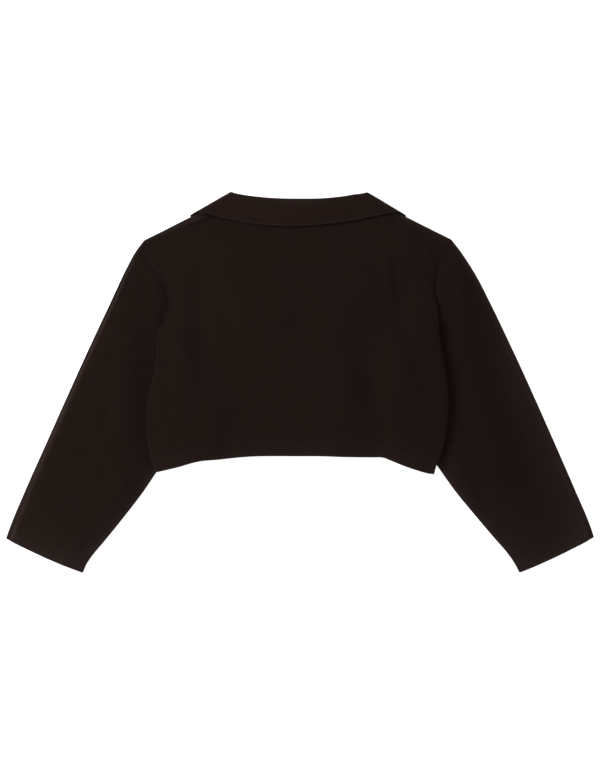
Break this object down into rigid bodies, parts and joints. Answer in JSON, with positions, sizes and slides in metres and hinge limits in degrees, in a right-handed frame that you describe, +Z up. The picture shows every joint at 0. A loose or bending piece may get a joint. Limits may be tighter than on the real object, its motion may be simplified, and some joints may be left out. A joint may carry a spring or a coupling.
{
  "type": "knitted shrug",
  "caption": "Cropped knit shrug with a turn-down collar, set-in bracelet sleeves and plain turned hems, laid flat with its back up.",
  "frame": {"origin": "on the surface below the garment, at the middle of its outline", "axes": "+X from the wearer's left sleeve to the right one, +Y from the hem to the collar, +Z up out of the back"},
  "size_m": [0.8522, 0.5517, 0.0105],
  "materials": {
    "body_knit": "fine matt knit, very dark brown",
    "sleeve_knit": "fine matt knit, very dark brown",
    "collar_knit": "fine matt knit, very dark brown, two plies"
  },
  "bodies": {
    "root": {"back": "body_knit", "front_left": "body_knit", "front_right": "body_knit", "sleeve_left": "sleeve_knit", "sleeve_right": "sleeve_knit", "collar": "collar_knit"}
  },
  "joints": []
}
